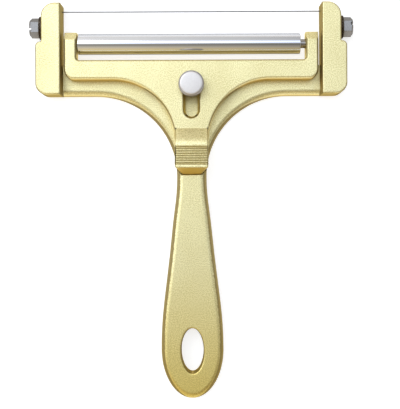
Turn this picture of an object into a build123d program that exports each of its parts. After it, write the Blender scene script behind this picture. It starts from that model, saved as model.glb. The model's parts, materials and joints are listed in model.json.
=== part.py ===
"""Cheese slicer with a taut wire and a roller on an adjustable carriage.

The slicer lies on its back: +Z is its front, +Y points from the handle to the
wire, and X runs along the wire. The origin is under the middle of its outline.
All lengths are in millimetres.
"""
import os
from math import atan, degrees

from build123d import *

os.makedirs("parts", exist_ok=True)

# Overall sizes of the frame casting
overall_length = 191.4
window_half_width = 62.9
post_width = 12.1
post_depth = 13.5
handle_depth = 10.0
yoke_depth = 5.5
yoke_rounding = 3.0
handle_rounding = 3.2
rear_bevel = 1.0
overrun = 5.0

# Handle outline: half widths, and the length of the rounded end
handle_half_width = 15.05
neck_half_width = 7.15
end_length = 23.7

# Handle side between the neck and the rounded end: share of the way, and share of the swell
side_points = ((0.83, 0.935), (0.63, 0.70), (0.425, 0.435), (0.22, 0.20))

# Yoke: the flare from the neck to the band that carries the posts
flare_radius = 39.5
yoke_foot_to_head = 44.25
yoke_band_height = 14.7

# Hanging hole in the handle
hang_hole_width = 10.8
hang_hole_height = 21.7
hang_hole_to_end = 23.2
hole_rim = 0.6

# Posts
post_heel_radius = 5.5
post_top_radius = 6.5
seat_step = 2.75
seat_length = 18.7
shoulder_radius = 2.3
seat_corner_radius = 0.4
post_edge = 0.9

# Tension screws, their lock washers and the pockets behind the posts
screw_to_head = 11.2
screw_height = 5.7
screw_diameter = 4.0
thread_clearance = 0.05
screw_tip_diameter = 3.4
screw_tip_length = 1.2
lock_washer_diameter = 11.3
lock_washer_thickness = 1.6
lock_washer_clearance = 0.1
hex_across_flats = 8.5
hex_height = 3.8
driver_slot_width = 1.2
driver_slot_depth = 1.2
driver_slot_turn = 75.0
hex_crown = 0.75
crown_bevel = 0.5
hex_turn = 30.0
pocket_wall = 2.1
pocket_end_clearance = 1.4
contact_gap = 0.05

# Wire and ferrules
wire_diameter = 0.5
wire_to_head = 3.2
wire_height = 4.8
wire_bend_radius = 1.2
wire_hole_diameter = 0.9
ferrule_diameter = 2.4
ferrule_length = 4.6
ferrule_bore_clearance = 0.05

# Carriage
carriage_gap = 0.2
carriage_depth = 7.8
arm_gap = 1.7
arm_width = 6.0
arm_length = 13.55
arm_slope_length = 3.75
arm_slope_drop = 2.7
bar_height = 9.3
bar_foot_to_clamp = 2.9
bar_corner_radius = 4.5
arm_corner_radius = 1.4
tail_half_width = 8.0
carriage_flare_radius = 30.0
tail_end_half_width = 4.6
tail_end_gap = 0.3
carriage_edge = 0.8

# Thumb rest on the carriage's tail
rest_rise = 4.4
rest_length = 21.9
rest_to_slot = 4.7
rest_edge = 0.5
ramp_length = 6.35
crest_radius = 6.0
end_slope_length = 2.8
end_slope_drop = 7.6
groove_pitch = 1.12
groove_count = 8
groove_radius = 0.42
groove_depth = 0.34
first_groove_to_crease = 9.4

# Guide slot, clamp screw and knob
carriage_travel = 12.0
slot_width = 5.9
slot_mouth_width = 8.2
slot_mouth_depth = 3.8
guide_clearance = 0.15
clamp_to_head = 39.9
clamp_screw_diameter = 4.0
clamp_bore_clearance = 0.15
clamp_screw_rear_gap = 0.8
bush_seat_depth = 1.5
bush_seat_clearance = 0.02
bush_top_gap = 0.3
washer_diameter = 10.4
washer_thickness = 0.7
knob_neck_diameter = 9.4
knob_neck_height = 1.5
knob_diameter = 12.2
knob_head_height = 5.4
knob_edge_radius = 1.5
knob_foot_radius = 0.8
knob_bore_depth = 4.6

# Roller
roller_diameter = 10.0
roller_wall = 1.0
roller_left_gap = 0.5
roller_right_gap = 2.6
roller_to_head = 19.7
roller_height = 9.0
axle_diameter = 4.4
axle_clearance = 0.05
axle_end_gap = 0.2
axle_end_bevel = 0.4
roller_bush_length = 9.0
roller_bush_clearance = 0.02
roller_end_edge = 0.4

# Places that follow from the sizes
head_y = overall_length / 2
handle_end_y = -overall_length / 2
end_centre_y = handle_end_y + end_length
yoke_foot_y = head_y - yoke_foot_to_head
flare_centre_y = yoke_foot_y - flare_radius
flare_centre_x = neck_half_width + flare_radius
yoke_top_y = yoke_foot_y + yoke_band_height
post_outer_x = window_half_width + post_width
seat_x = post_outer_x - seat_step
shoulder_y = head_y - seat_length
screw_y = head_y - screw_to_head
wire_y = head_y - wire_to_head
clamp_y = head_y - clamp_to_head
roller_y = head_y - roller_to_head
pocket_inner_x = window_half_width + pocket_wall
wire_down_x = pocket_inner_x + contact_gap + ferrule_diameter / 2
screw_tip_x = pocket_inner_x + ferrule_diameter + 2 * contact_gap
pocket_outer_x = screw_tip_x + screw_tip_length / 3
pocket_top_y = wire_y + pocket_end_clearance
pocket_foot_y = screw_y - ferrule_length / 2 - pocket_end_clearance
pocket_depth = screw_height + screw_tip_diameter / 2 + pocket_end_clearance
hang_hole_y = handle_end_y + hang_hole_to_end

carriage_base_z = yoke_depth + carriage_gap
carriage_front_z = carriage_base_z + carriage_depth
rest_top_z = carriage_front_z + rest_rise
arm_outer_x = window_half_width - arm_gap
arm_inner_x = arm_outer_x - arm_width
slot_mouth_half_width = slot_mouth_width / 2
slot_bottom_y = clamp_y - carriage_travel
bar_foot_y = clamp_y + bar_foot_to_clamp
bar_top_y = bar_foot_y + bar_height
arm_top_y = bar_top_y + arm_length
carriage_flare_y = bar_foot_y - carriage_flare_radius
carriage_flare_x = tail_half_width + carriage_flare_radius
rest_crease_y = slot_bottom_y - slot_mouth_half_width - rest_to_slot
tail_end_y = rest_crease_y - rest_length
first_groove_y = rest_crease_y - first_groove_to_crease
step_y = tail_end_y - tail_end_gap
step_half_width = tail_end_half_width + tail_end_gap / 2
bush_diameter = slot_width - 2 * guide_clearance


def mirrored(name, side):
    """Name of one of a left and right pair; the left one has the lower X."""
    return ("right_" if side > 0 else "left_") + name


def save(piece, label):
    """Label a finished piece and write it to its own file."""
    piece.part.label = label
    export_step(piece.part, "parts/" + label + ".step")


# Frame casting: handle, yoke and posts in one piece
neck_y = flare_centre_y
side_length = neck_y - end_centre_y
side_swell = handle_half_width - neck_half_width
reach = handle_half_width + overrun
step_rise = reach - step_half_width


def outer_edges(part, height, low_y, high_y):
    """Edges of a part at one height whose whole length lies between two places along Y."""
    found = part.edges().filter_by_position(Axis.Z, height, height)
    return found.filter_by(
        lambda edge: edge.bounding_box().min.Y > low_y and edge.bounding_box().max.Y < high_y)


with BuildPart() as frame_handle:
    with BuildSketch() as frame_plan:
        with BuildLine():
            EllipticalCenterArc(
                (0, end_centre_y), handle_half_width, end_length, start_angle=270, arc_size=90)
            Spline(
                (handle_half_width, end_centre_y),
                *[(neck_half_width + side_swell * swell, neck_y - side_length * way)
                  for way, swell in side_points],
                (neck_half_width, neck_y),
                tangents=((0, 1), (0, 1)))
            flare = CenterArc(
                (flare_centre_x, flare_centre_y), flare_radius, start_angle=180, arc_size=-90)
            Polyline(
                flare @ 1,
                (window_half_width + post_heel_radius, yoke_foot_y),
                (window_half_width + post_heel_radius, yoke_top_y),
                (0, yoke_top_y),
                (0, handle_end_y))
        make_face()
        mirror(about=Plane.YZ)
    extrude(amount=yoke_depth)
    fillet(outer_edges(frame_handle, yoke_depth, handle_end_y - overrun, yoke_foot_y + contact_gap),
           yoke_rounding)

    # The handle stands higher than the yoke, up to the step that the tail's end nests in
    with BuildSketch():
        add(frame_plan.sketch)
        with BuildLine():
            Polyline(
                (-reach, handle_end_y - overrun),
                (reach, handle_end_y - overrun),
                (reach, step_y + step_rise),
                (step_half_width, step_y),
                (-step_half_width, step_y),
                (-reach, step_y + step_rise),
                close=True)
        make_face(mode=Mode.INTERSECT)
    extrude(amount=handle_depth)
    handle_front = outer_edges(frame_handle, handle_depth, handle_end_y - overrun, head_y)
    fillet(handle_front.filter_by(lambda edge: abs(edge.center().X) > neck_half_width - contact_gap),
           handle_rounding)
    chamfer(outer_edges(frame_handle, 0, handle_end_y - overrun, yoke_foot_y + contact_gap), rear_bevel)

    # Posts, each with a step in its outer side for the tension screw
    with BuildSketch() as post_plan:
        with BuildLine():
            Polyline(
                (window_half_width, yoke_foot_y),
                (post_outer_x, yoke_foot_y),
                (post_outer_x, shoulder_y),
                (seat_x, shoulder_y),
                (seat_x, head_y),
                (window_half_width, head_y),
                close=True)
        make_face()
        rounded_corners = (
            ((post_outer_x, yoke_foot_y), post_heel_radius),
            ((seat_x, head_y), post_top_radius),
            ((post_outer_x, shoulder_y), shoulder_radius),
            ((seat_x, shoulder_y), seat_corner_radius))
        for corner, radius in rounded_corners:
            fillet(post_plan.vertices().sort_by_distance(corner)[0], radius)
        mirror(about=Plane.YZ)
    extrude(amount=post_depth)
    fillet(outer_edges(frame_handle, post_depth, yoke_foot_y - contact_gap, head_y + contact_gap),
           post_edge)

    # Threaded holes and the pockets behind the posts
    for side in (-1, 1):
        with BuildSketch(Plane((side * seat_x, screw_y, screw_height), z_dir=(-side, 0, 0))):
            Circle(screw_diameter / 2 + thread_clearance)
        extrude(amount=seat_x - pocket_inner_x, mode=Mode.SUBTRACT)
        with BuildSketch():
            with Locations((side * (pocket_inner_x + pocket_outer_x) / 2,
                            (pocket_top_y + pocket_foot_y) / 2)):
                Rectangle(pocket_outer_x - pocket_inner_x, pocket_top_y - pocket_foot_y)
        extrude(amount=pocket_depth, mode=Mode.SUBTRACT)
        with BuildSketch(Plane((side * pocket_inner_x, wire_y, wire_height), z_dir=(-side, 0, 0))):
            Circle(wire_hole_diameter / 2)
        extrude(amount=pocket_wall, mode=Mode.SUBTRACT)

    # Hanging hole, with its rims broken on both faces
    with BuildSketch():
        with Locations((0, hang_hole_y)):
            Ellipse(hang_hole_width / 2, hang_hole_height / 2)
    extrude(amount=handle_depth, mode=Mode.SUBTRACT)
    for height in (0, handle_depth):
        rim = frame_handle.edges().filter_by_position(Axis.Z, height, height)
        chamfer(rim.sort_by_distance((0, hang_hole_y, height))[0], hole_rim)

    # Tapped hole and seat for the clamp screw and its guide bush
    with Locations((0, clamp_y, 0)):
        Cylinder(clamp_screw_diameter / 2 + thread_clearance, yoke_depth,
                 align=(Align.CENTER, Align.CENTER, Align.MIN), mode=Mode.SUBTRACT)
    with Locations((0, clamp_y, yoke_depth - bush_seat_depth)):
        Cylinder(bush_diameter / 2 + bush_seat_clearance, bush_seat_depth,
                 align=(Align.CENTER, Align.CENTER, Align.MIN), mode=Mode.SUBTRACT)
save(frame_handle, "frame_handle")


# Carriage: bar, arms, slotted plate and thumb rest in one piece
rest_overlap = rest_edge
slot_mouth_angle = degrees(atan((slot_mouth_width - slot_width) / 2 / slot_mouth_depth))
groove_places = [(0, first_groove_y - groove_pitch * number, rest_top_z + groove_radius - groove_depth)
                 for number in range(groove_count)]

with BuildPart() as thumb_rest:
    with BuildSketch(Plane.XY.offset(carriage_base_z)):
        Polygon(
            (-tail_half_width, rest_crease_y),
            (-tail_half_width, tail_end_y + tail_half_width - tail_end_half_width),
            (-tail_end_half_width, tail_end_y),
            (tail_end_half_width, tail_end_y),
            (tail_half_width, tail_end_y + tail_half_width - tail_end_half_width),
            (tail_half_width, rest_crease_y),
            align=None)
    extrude(amount=rest_top_z - carriage_base_z)

    # Seen from the side: end slope, top, crest and ramp
    with BuildSketch(Plane.YZ) as rest_side:
        with BuildLine():
            Polyline(
                (tail_end_y, carriage_base_z),
                (tail_end_y, rest_top_z - end_slope_drop),
                (tail_end_y + end_slope_length, rest_top_z),
                (rest_crease_y - ramp_length, rest_top_z),
                (rest_crease_y, carriage_front_z),
                (rest_crease_y, carriage_base_z),
                close=True)
        make_face()
        fillet(rest_side.vertices().sort_by_distance((rest_crease_y - ramp_length, rest_top_z))[0],
               crest_radius)
    extrude(amount=tail_half_width + overrun, both=True, mode=Mode.INTERSECT)
    rest_sides = thumb_rest.edges().filter_by(
        lambda edge: abs(edge.center().X) > tail_half_width - contact_gap
        and edge.bounding_box().min.Z > carriage_front_z - contact_gap
        and edge.bounding_box().size.Y > contact_gap)
    chamfer(rest_sides, rest_edge)

    # Grooves across the thumb rest
    with Locations(*groove_places):
        Cylinder(groove_radius, 2 * tail_half_width + overrun, rotation=(0, 90, 0), mode=Mode.SUBTRACT)

with BuildPart() as roller_carriage:
    with BuildSketch(Plane.XY.offset(carriage_base_z)) as carriage_plan:
        with BuildLine():
            carriage_flare = CenterArc(
                (carriage_flare_x, carriage_flare_y), carriage_flare_radius,
                start_angle=90, arc_size=90)
            Polyline(
                carriage_flare @ 1,
                (tail_half_width, rest_crease_y - rest_overlap),
                (0, rest_crease_y - rest_overlap),
                (0, bar_top_y),
                (arm_inner_x, bar_top_y),
                (arm_inner_x, arm_top_y),
                (arm_outer_x, arm_top_y),
                (arm_outer_x, bar_foot_y),
                carriage_flare @ 0)
        make_face()
        fillet(carriage_plan.vertices().sort_by_distance((arm_outer_x, bar_foot_y))[0], bar_corner_radius)
        fillet(carriage_plan.vertices().sort_by_distance((arm_inner_x, bar_top_y))[0], arm_corner_radius)
        mirror(about=Plane.YZ)
    extrude(amount=carriage_depth)

    # Arm tops slope down towards the wire
    with BuildSketch(Plane.YZ):
        Polygon(
            (arm_top_y - arm_slope_length, carriage_front_z),
            (arm_top_y, carriage_front_z - arm_slope_drop),
            (arm_top_y + overrun, carriage_front_z - arm_slope_drop),
            (arm_top_y + overrun, carriage_front_z + overrun),
            (arm_top_y - arm_slope_length, carriage_front_z + overrun),
            align=None)
    extrude(amount=arm_outer_x + overrun, both=True, mode=Mode.SUBTRACT)
    front_rims = outer_edges(roller_carriage, carriage_front_z, rest_crease_y - rest_overlap + contact_gap,
                             arm_top_y)
    chamfer(front_rims.filter_by(lambda edge: edge.bounding_box().max.Y < arm_top_y - arm_slope_length
                                 + contact_gap and edge.bounding_box().min.Y
                                 < arm_top_y - arm_slope_length - contact_gap), carriage_edge)
    add(thumb_rest.part)

    # Guide slot, open to the front and the back, with a wider mouth
    slot_floor_z = carriage_front_z - slot_mouth_depth
    with BuildSketch(Plane.XY.offset(carriage_base_z)):
        with Locations((0, (clamp_y + slot_bottom_y) / 2)):
            SlotCenterToCenter(carriage_travel, slot_width, rotation=90)
    extrude(amount=carriage_depth, mode=Mode.SUBTRACT)
    with BuildSketch(Plane.XY.offset(slot_floor_z)):
        with Locations((0, (clamp_y + slot_bottom_y) / 2)):
            SlotCenterToCenter(carriage_travel, slot_width, rotation=90)
    extrude(amount=slot_mouth_depth, taper=-slot_mouth_angle, mode=Mode.SUBTRACT)

    # Bores through both arms for the axle
    with BuildSketch(Plane((0, roller_y, roller_height), z_dir=(1, 0, 0))):
        Circle(axle_diameter / 2 + axle_clearance)
    extrude(amount=arm_outer_x, both=True, mode=Mode.SUBTRACT)
save(roller_carriage, "roller_carriage")


# Axle, roller tube and its two bushes
axle_length = 2 * (arm_outer_x - axle_end_gap)
with BuildPart() as roller_axle:
    with BuildSketch(Plane((-axle_length / 2, roller_y, roller_height), z_dir=(1, 0, 0))):
        Circle(axle_diameter / 2)
    extrude(amount=axle_length)
    chamfer(roller_axle.edges(), axle_end_bevel)
save(roller_axle, "roller_axle")

roller_left_x = -arm_inner_x + roller_left_gap
roller_right_x = arm_inner_x - roller_right_gap
roller_length = roller_right_x - roller_left_x
roller_bore = roller_diameter / 2 - roller_wall
with BuildPart() as roller_tube:
    with BuildSketch(Plane((roller_left_x, roller_y, roller_height), z_dir=(1, 0, 0))):
        Circle(roller_diameter / 2)
        Circle(roller_bore, mode=Mode.SUBTRACT)
    extrude(amount=roller_length)
    ends = roller_tube.edges().filter_by(lambda edge: edge.geom_type == GeomType.CIRCLE
                                         and edge.radius > roller_bore + contact_gap)
    chamfer(ends, roller_end_edge)
save(roller_tube, "roller_tube")

for side in (-1, 1):
    bush_end_x = roller_right_x if side > 0 else roller_left_x
    with BuildPart() as roller_bush:
        with BuildSketch(Plane((bush_end_x, roller_y, roller_height), z_dir=(-side, 0, 0))):
            Circle(roller_bore - roller_bush_clearance)
            Circle(axle_diameter / 2 + axle_clearance, mode=Mode.SUBTRACT)
        extrude(amount=roller_bush_length)
    save(roller_bush, mirrored("roller_bush", side))


# Guide bush, seated in the yoke
bush_top_z = carriage_front_z - bush_top_gap
screw_bore = clamp_screw_diameter / 2 + clamp_bore_clearance
bush_base_z = yoke_depth - bush_seat_depth + contact_gap
with BuildPart() as guide_bush:
    with BuildSketch(Plane((0, clamp_y, bush_base_z), z_dir=(0, 0, 1))):
        Circle(bush_diameter / 2)
        Circle(screw_bore, mode=Mode.SUBTRACT)
    extrude(amount=bush_top_z - bush_base_z)
save(guide_bush, "guide_bush")

# Washer, clamp screw and knob, stacked on the carriage's front
washer_base_z = carriage_front_z + contact_gap
knob_base_z = washer_base_z + washer_thickness + contact_gap
with BuildPart() as clamp_washer:
    with BuildSketch(Plane((0, clamp_y, washer_base_z), z_dir=(0, 0, 1))):
        Circle(washer_diameter / 2)
        Circle(screw_bore, mode=Mode.SUBTRACT)
    extrude(amount=washer_thickness)
save(clamp_washer, "clamp_washer")

with BuildPart() as clamp_knob:
    with BuildSketch(Plane((0, clamp_y, knob_base_z), z_dir=(0, 0, 1))):
        Circle(knob_neck_diameter / 2)
    extrude(amount=knob_neck_height)
    with BuildSketch(Plane((0, clamp_y, knob_base_z + knob_neck_height), z_dir=(0, 0, 1))):
        Circle(knob_diameter / 2)
    extrude(amount=knob_head_height)
    rims = clamp_knob.edges().filter_by(lambda edge: edge.geom_type == GeomType.CIRCLE
                                        and edge.radius > knob_neck_diameter / 2 + contact_gap)
    fillet(rims.sort_by(Axis.Z)[-1], knob_edge_radius)
    fillet(rims.sort_by(Axis.Z)[0], knob_foot_radius)
    with Locations((0, clamp_y, knob_base_z)):
        Cylinder(clamp_screw_diameter / 2 + bush_seat_clearance, knob_bore_depth,
                 align=(Align.CENTER, Align.CENTER, Align.MIN), mode=Mode.SUBTRACT)
save(clamp_knob, "clamp_knob")

clamp_screw_top_z = knob_base_z + knob_bore_depth - contact_gap
with BuildPart() as clamp_screw:
    with BuildSketch(Plane((0, clamp_y, clamp_screw_rear_gap), z_dir=(0, 0, 1))):
        Circle(clamp_screw_diameter / 2)
    extrude(amount=clamp_screw_top_z - clamp_screw_rear_gap)
    chamfer(clamp_screw.edges().sort_by(Axis.Z)[0], axle_end_bevel)
save(clamp_screw, "clamp_screw")


# Wire, from one ferrule over both posts to the other
wire_end_y = screw_y - ferrule_length / 2
with BuildPart() as cutting_wire:
    with BuildLine(Plane.XY.offset(wire_height)) as wire_path:
        FilletPolyline(
            (-wire_down_x, wire_end_y),
            (-wire_down_x, wire_y),
            (wire_down_x, wire_y),
            (wire_down_x, wire_end_y),
            radius=wire_bend_radius)
    with BuildSketch(Plane(wire_path.line @ 0, z_dir=wire_path.line % 0)):
        Circle(wire_diameter / 2)
    sweep()
save(cutting_wire, "cutting_wire")

for side in (-1, 1):
    with BuildPart() as wire_ferrule:
        with BuildSketch(Plane((side * wire_down_x, wire_end_y, wire_height), z_dir=(0, 1, 0))):
            Circle(ferrule_diameter / 2)
            Circle(wire_diameter / 2 + ferrule_bore_clearance, mode=Mode.SUBTRACT)
        extrude(amount=ferrule_length)
    save(wire_ferrule, mirrored("wire_ferrule", side))

    # Lock washer between the post's seat and the screw's head
    toward_side = Plane((side * seat_x, screw_y, screw_height), z_dir=(side, 0, 0))
    with BuildPart() as lock_washer:
        with BuildSketch(toward_side.offset(contact_gap)):
            Circle(lock_washer_diameter / 2)
            Circle(screw_diameter / 2 + lock_washer_clearance, mode=Mode.SUBTRACT)
        extrude(amount=lock_washer_thickness)
    save(lock_washer, mirrored("lock_washer", side))

    # Tension screw: slotted hexagon head, shank and tip, from the outside in
    head_offset = lock_washer_thickness + 2 * contact_gap
    with BuildPart() as tension_screw:
        with BuildSketch(toward_side.offset(head_offset)):
            RegularPolygon(hex_across_flats / 2, 6, major_radius=False, rotation=hex_turn)
        extrude(amount=hex_height)
        with BuildSketch(toward_side.offset(head_offset + hex_height)):
            Circle(hex_across_flats / 2)
        extrude(amount=hex_crown)
        chamfer(tension_screw.faces().sort_by(Axis.X)[-1 if side > 0 else 0].edges(), crown_bevel)
        with BuildSketch(toward_side.offset(head_offset)):
            Circle(screw_diameter / 2)
        extrude(amount=-(head_offset + seat_x - screw_tip_x - screw_tip_length))
        with BuildSketch(toward_side.offset(head_offset)):
            Circle(screw_tip_diameter / 2)
        extrude(amount=-(head_offset + seat_x - screw_tip_x))
        with BuildSketch(toward_side.offset(head_offset + hex_height + hex_crown)):
            Rectangle(driver_slot_width, hex_across_flats + overrun, rotation=driver_slot_turn)
        extrude(amount=-driver_slot_depth, mode=Mode.SUBTRACT)
    save(tension_screw, mirrored("tension_screw", side))
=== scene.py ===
"""Dresses the wire cheese slicer: gold plated castings, a steel roller and a silver clamp knob.

Everything is in metres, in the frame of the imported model: +Z is the slicer's front,
+Y points from its handle to its wire, and X runs along the wire.
"""

import json
import logging
import math
from dataclasses import dataclass, replace
from enum import Enum

import bmesh
import bpy
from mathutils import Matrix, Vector

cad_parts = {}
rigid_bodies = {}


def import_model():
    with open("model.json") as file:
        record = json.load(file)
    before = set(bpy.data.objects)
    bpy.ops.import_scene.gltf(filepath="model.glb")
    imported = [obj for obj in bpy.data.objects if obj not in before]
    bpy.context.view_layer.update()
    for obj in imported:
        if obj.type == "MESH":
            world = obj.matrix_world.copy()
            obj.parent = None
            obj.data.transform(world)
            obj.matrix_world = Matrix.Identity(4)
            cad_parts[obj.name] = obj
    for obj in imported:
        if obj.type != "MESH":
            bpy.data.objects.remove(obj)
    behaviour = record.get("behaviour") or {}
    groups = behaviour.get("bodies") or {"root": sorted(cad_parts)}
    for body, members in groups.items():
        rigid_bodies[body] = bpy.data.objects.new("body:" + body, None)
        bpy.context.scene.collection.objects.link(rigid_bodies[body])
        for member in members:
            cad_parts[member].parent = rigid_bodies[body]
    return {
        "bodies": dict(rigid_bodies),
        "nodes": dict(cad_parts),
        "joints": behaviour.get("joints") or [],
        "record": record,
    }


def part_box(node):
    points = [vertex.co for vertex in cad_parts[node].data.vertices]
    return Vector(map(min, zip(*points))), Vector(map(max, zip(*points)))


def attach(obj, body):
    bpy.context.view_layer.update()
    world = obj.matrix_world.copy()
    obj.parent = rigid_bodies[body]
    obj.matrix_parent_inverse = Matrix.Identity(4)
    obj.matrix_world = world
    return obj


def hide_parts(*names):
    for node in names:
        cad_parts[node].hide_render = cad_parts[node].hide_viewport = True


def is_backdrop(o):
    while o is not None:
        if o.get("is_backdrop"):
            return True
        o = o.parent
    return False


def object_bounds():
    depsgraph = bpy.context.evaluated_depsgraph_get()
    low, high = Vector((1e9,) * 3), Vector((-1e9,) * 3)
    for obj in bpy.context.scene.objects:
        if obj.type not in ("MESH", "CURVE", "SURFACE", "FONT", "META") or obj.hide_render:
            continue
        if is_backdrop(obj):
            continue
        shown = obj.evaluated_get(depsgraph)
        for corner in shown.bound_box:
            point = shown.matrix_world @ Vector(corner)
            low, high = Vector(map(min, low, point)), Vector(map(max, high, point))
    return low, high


log = logging.getLogger("cheese_slicer")

MM = 0.001
ROUNDED_FROM = math.radians(24)
COPY_SHADING_ANGLE = math.radians(60)
SAME_PLANE_ANGLE = math.radians(0.5)
SAME_PLACE = 0.0005 * MM
ALONG_X = (0.0, math.pi / 2, 0.0)
ALONG_Y = (math.pi / 2, 0.0, 0.0)
FLOAT = "NodeSocketFloat"
WHOLE = "NodeSocketInt"
VECTOR = ("NodeSocketVector", None)
ROTATION = ("NodeSocketRotation", None)
Colour = tuple[float, float, float]
Place = tuple[float, float, float]
Tree = bpy.types.NodeTree
Node = bpy.types.Node
Socket = bpy.types.NodeSocket
Piece = bpy.types.Object
Material = bpy.types.Material


class Slot(Enum):
    """Material slots of the record."""

    GOLD = "gold_casting"
    WIRE = "wire_steel"
    ROLLER = "roller_steel"
    KNOB = "knob_silver"
    SCREW = "screw_steel"
    LOCK_WASHER = "lock_washer_steel"
    NYLON = "bush_nylon"


class Body(Enum):
    """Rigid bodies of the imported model."""

    FRAME = "frame"
    CARRIAGE = "carriage"
    ROLLER = "roller"
    WASHER = "washer"
    KNOB = "knob"


class Side(Enum):
    """The two ends of the wire, by the sign of their X."""

    LEFT = -1
    RIGHT = 1

    @property
    def word(self) -> str:
        """The side's name, as it stands in a piece's name."""
        return self.name.lower()


# Small helpers for node trees


def plugged(tree: Tree, node: Node, inputs: dict[str, object]) -> Node:
    """Set or link a node's inputs.

    Args:
        tree: The node's tree.
        node: The node.
        inputs: One value or output socket for each input, by the input's name with
            underscores for spaces, or by "in_" and its number.

    Returns:
        The node.
    """
    for name, value in inputs.items():
        key: int | str = int(name[3:]) if name.startswith("in_") else name.replace("_", " ")
        socket = node.inputs[key]
        if isinstance(value, Socket):
            tree.links.new(value, socket)
        else:
            socket.default_value = value
    return node


def linked(tree: Tree, kind: str, **inputs: object) -> Node:
    """Add a node of a kind, with its inputs as plugged() takes them."""
    return plugged(tree, tree.nodes.new(kind), inputs)


def calculated(tree: Tree, operation: str, first: object, second: object = 0.0) -> Socket:
    """Add a Math node.

    Args:
        tree: The tree that gets the node.
        operation: The Math node's operation.
        first: First value or socket.
        second: Second value or socket.

    Returns:
        The node's result.
    """
    node = linked(tree, "ShaderNodeMath", in_0=first, in_1=second)
    node.operation = operation
    return node.outputs[0]


def product(tree: Tree, first: object, second: object) -> Socket:
    """Multiply two values or sockets."""
    return calculated(tree, "MULTIPLY", first, second)


def ranged(tree: Tree, value: object, from_low: object, from_high: object, to_low: object = 0.0,
           to_high: object = 1.0) -> Socket:
    """Map a value from one range to another and keep it within the second.

    Args:
        tree: The tree that gets the Map Range node.
        value: The value.
        from_low: Start of its range.
        from_high: End of its range.
        to_low: Result at the start.
        to_high: Result at the end.

    Returns:
        The node's result.
    """
    node = linked(tree, "ShaderNodeMapRange", Value=value, From_Min=from_low, From_Max=from_high,
                  To_Min=to_low, To_Max=to_high)
    return node.outputs["Result"]


def opened_group(name: str, inputs: dict[str, tuple[str, object]],
                 kind: str = "ShaderNodeTree") -> tuple[Tree, bpy.types.NodeOutputs]:
    """Start a node group.

    Args:
        name: The group's name.
        inputs: Socket type and default value, by input name.
        kind: The group's type name.

    Returns:
        The group, and the sockets that give its inputs.
    """
    group = bpy.data.node_groups.new(name, kind)
    for label, (socket_type, value) in inputs.items():
        socket = group.interface.new_socket(name=label, in_out="INPUT", socket_type=socket_type)
        if value is not None:
            socket.default_value = value
    return group, group.nodes.new("NodeGroupInput").outputs


def closed_group(group: Tree, socket_type: str = FLOAT, **results: Socket) -> Tree:
    """Finish a node group.

    Args:
        group: The group.
        socket_type: The type of its outputs.
        results: What each output gives, by the output's name.

    Returns:
        The group.
    """
    for name in results:
        group.interface.new_socket(name=name, in_out="OUTPUT", socket_type=socket_type)
    plugged(group, group.nodes.new("NodeGroupOutput"), results)
    return group


# Shader groups that several finishes share


def blasted_grain_group() -> Tree:
    """Build the fine grain of a blasted casting.

    Returns:
        A group that turns a place and a grain size into a height and a speckle mask.
    """
    group, given = opened_group("blasted_grain", {
        "Place": VECTOR, "Grain Size": (FLOAT, 0.3 * MM), "Pit Rate Share": (FLOAT, 0.45),
        "Pit Width": (FLOAT, 0.55), "Speckle From": (FLOAT, 0.38), "Speckle To": (FLOAT, 0.62)})
    per_metre = calculated(group, "DIVIDE", 1.0, given["Grain Size"])
    fine = linked(group, "ShaderNodeTexNoise", Vector=given["Place"], Scale=per_metre,
                  Detail=3.0, Roughness=0.6)
    pit_rate = product(group, per_metre, given["Pit Rate Share"])
    pits = linked(group, "ShaderNodeTexVoronoi", Vector=given["Place"], Scale=pit_rate)
    pit_depth = ranged(group, pits.outputs["Distance"], 0.0, given["Pit Width"])
    speckle = ranged(group, fine.outputs["Fac"], given["Speckle From"], given["Speckle To"])
    return closed_group(group, Height=product(group, fine.outputs["Fac"], pit_depth), Speckle=speckle)


def edge_polish_and_outline_shade_group() -> Tree:
    """Build the edge mask: the polish that handling leaves along edges, and a painted dark outline of shade
    there.

    Returns:
        A group that gives a mask, 1 along edges narrower than its width and 0 on flats.
    """
    group, given = opened_group(
        "handled_edges", {"Place": VECTOR, "Sharpness": (FLOAT, 6.0), "Edge Width": (FLOAT, 0.5 * MM)})
    rounded = linked(group, "ShaderNodeBevel", Radius=given["Edge Width"])
    rounded.samples = 4
    geometry = group.nodes.new("ShaderNodeNewGeometry")
    agreement = linked(group, "ShaderNodeVectorMath", in_0=rounded.outputs["Normal"],
                       in_1=geometry.outputs["True Normal"])
    agreement.operation = "DOT_PRODUCT"
    turned = calculated(group, "SUBTRACT", 1.0, agreement.outputs["Value"])
    sharpened = product(group, turned, given["Sharpness"])
    patches = linked(group, "ShaderNodeTexNoise", Vector=given["Place"], Scale=220.0, Detail=2.0)
    broken = product(group, sharpened, patches.outputs["Fac"])
    clamped = calculated(group, "MINIMUM", broken, 1.0)
    return closed_group(group, Edge=calculated(group, "MAXIMUM", clamped, 0.0))


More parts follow.
